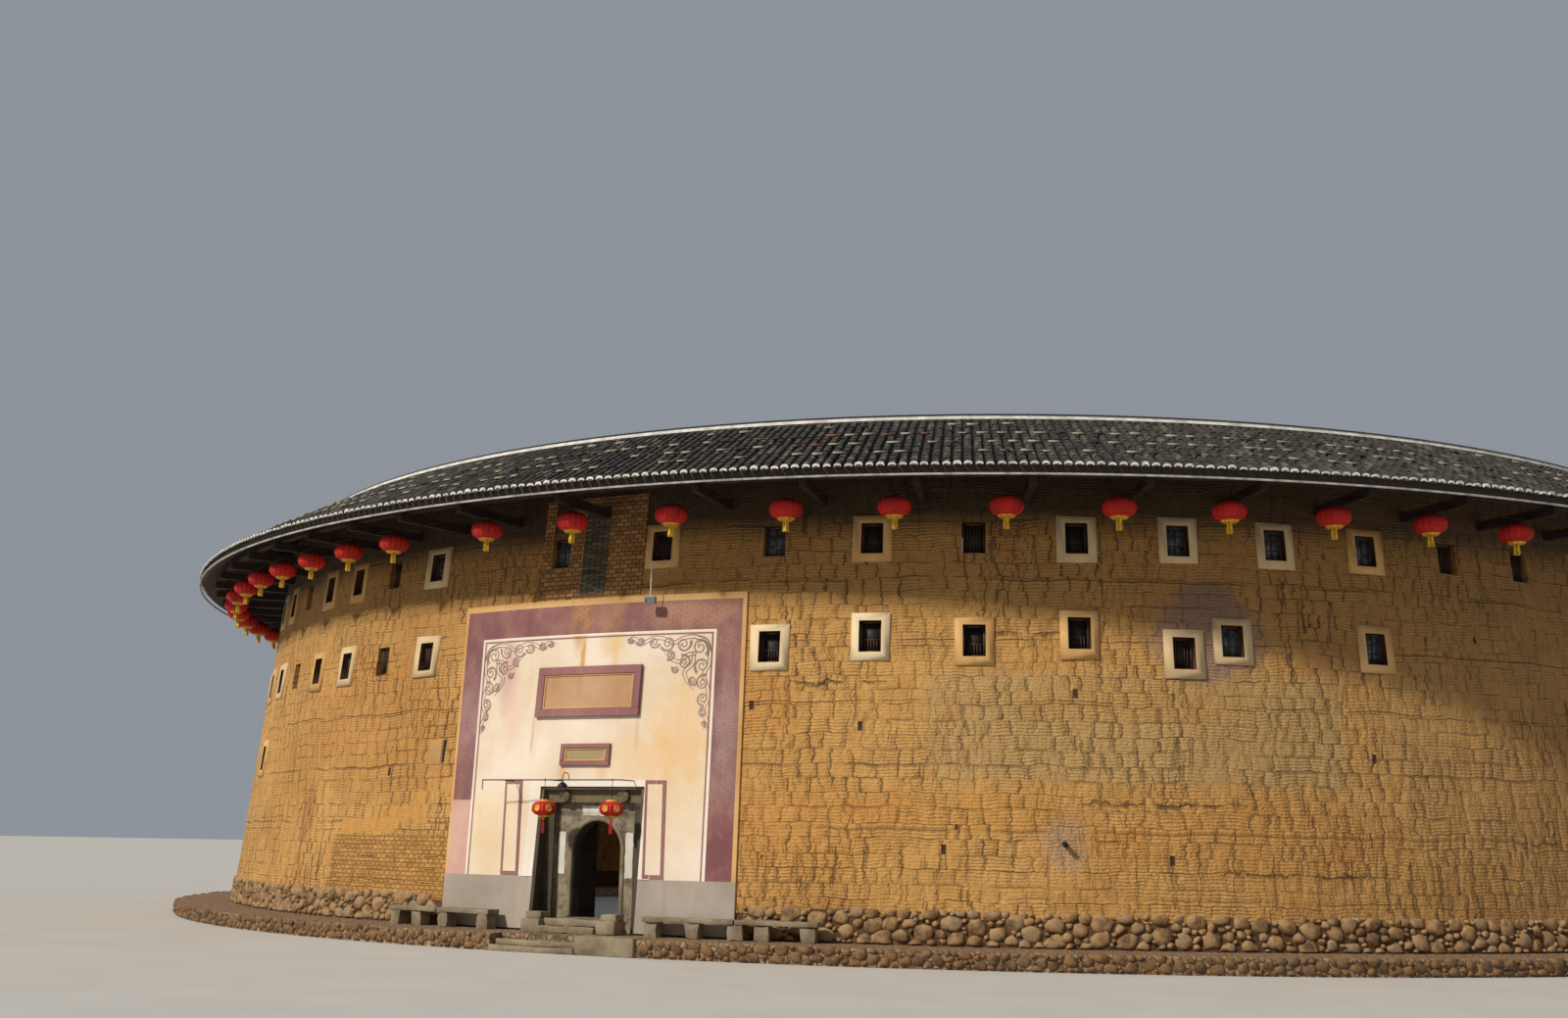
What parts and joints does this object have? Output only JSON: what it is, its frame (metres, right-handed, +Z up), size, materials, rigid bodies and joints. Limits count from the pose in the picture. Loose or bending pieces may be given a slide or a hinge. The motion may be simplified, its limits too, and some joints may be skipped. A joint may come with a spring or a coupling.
{
  "type": "tulou roundhouse scale model at 1:2",
  "caption": "Ring-shaped rammed-earth house round a courtyard, with a tiled roof, small windows, a stone arched doorway with two opening leaves, galleries and hung lanterns.",
  "frame": {"origin": "centre of the ring at ground level, under the terrace's underside", "axes": "+Z up, -Y out through the main doorway, +X to the right of someone who faces the doorway"},
  "size_m": [33.568, 33.568, 7.7],
  "materials": {
    "cobble": "rounded river stones in mud mortar",
    "earth_wall": "rammed earth, cracked, with lift lines",
    "timber": "weathered dark timber",
    "roof_tile": "unglazed dark grey clay tiles",
    "ridge_lime": "lime plaster with a dark cap",
    "plaster": "painted lime plaster, weathered",
    "dressed_stone": "worn dressed stone",
    "door_wood": "dark worn boards",
    "sign_board": "painted board in a gilt border",
    "red_cloth": "red silk over ribs, with gold trim",
    "iron": "black paint, satin"
  },
  "bodies": {
    "house": {"terrace_right": "cobble", "terrace_left": "cobble", "footing_right": "cobble", "footing_left": "cobble", "wall_front_right_lower": "earth_wall", "wall_front_right_third": "earth_wall", "wall_front_right_fourth": "earth_wall", "wall_front_left_lower": "earth_wall", "wall_front_left_third": "earth_wall", "wall_front_left_fourth": "earth_wall", "wall_over_door": "earth_wall", "wall_right_1": "earth_wall", "wall_right_2": "earth_wall", "wall_right_3": "earth_wall", "wall_right_4": "earth_wall", "wall_right_5": "earth_wall", "wall_left_1": "earth_wall", "wall_left_2": "earth_wall", "wall_left_3": "earth_wall", "wall_left_4": "earth_wall", "wall_left_5": "earth_wall", "second_floor_right": "timber", "second_floor_left": "timber", "third_floor_right": "timber", "third_floor_left": "timber", "fourth_floor_right": "timber", "fourth_floor_left": "timber", "gallery_front_right": "timber", "gallery_back_right": "timber", "gallery_back_left": "timber", "gallery_front_left": "timber", "eave_frame_right": "timber", "eave_frame_left": "timber", "door_head": "timber", "outer_roof_front_right": "roof_tile", "outer_roof_back_right": "roof_tile", "outer_roof_back_left": "roof_tile", "outer_roof_front_left": "roof_tile", "inner_roof_right": "roof_tile", "inner_roof_left": "roof_tile", "ridge_right": "ridge_lime", "ridge_left": "ridge_lime", "plaster_panel": "plaster", "stone_portal": "dressed_stone", "door_steps": "dressed_stone", "terrace_steps": "dressed_stone", "bench_right": "dressed_stone", "bench_left": "dressed_stone", "name_plaque": "sign_board", "niche_frame": "sign_board", "eave_lanterns_right": "red_cloth", "eave_lanterns_left": "red_cloth", "entrance_lantern_left": "red_cloth", "entrance_lantern_right": "red_cloth", "lantern_rod": "iron", "floodlight": "iron"},
    "left_leaf": {"left_door_leaf": "door_wood"},
    "right_leaf": {"right_door_leaf": "door_wood"}
  },
  "joints": [
    {"name": "left_leaf_hinge", "type": "hinge", "parent": "house", "child": "left_leaf", "pos_m": [-0.475, -15.0465, 1.05], "axis": [0, 0, -1], "range_deg": [0, 90]},
    {"name": "right_leaf_hinge", "type": "hinge", "parent": "house", "child": "right_leaf", "pos_m": [0.475, -15.0465, 1.05], "axis": [0, 0, 1], "range_deg": [0, 90]}
  ]
}
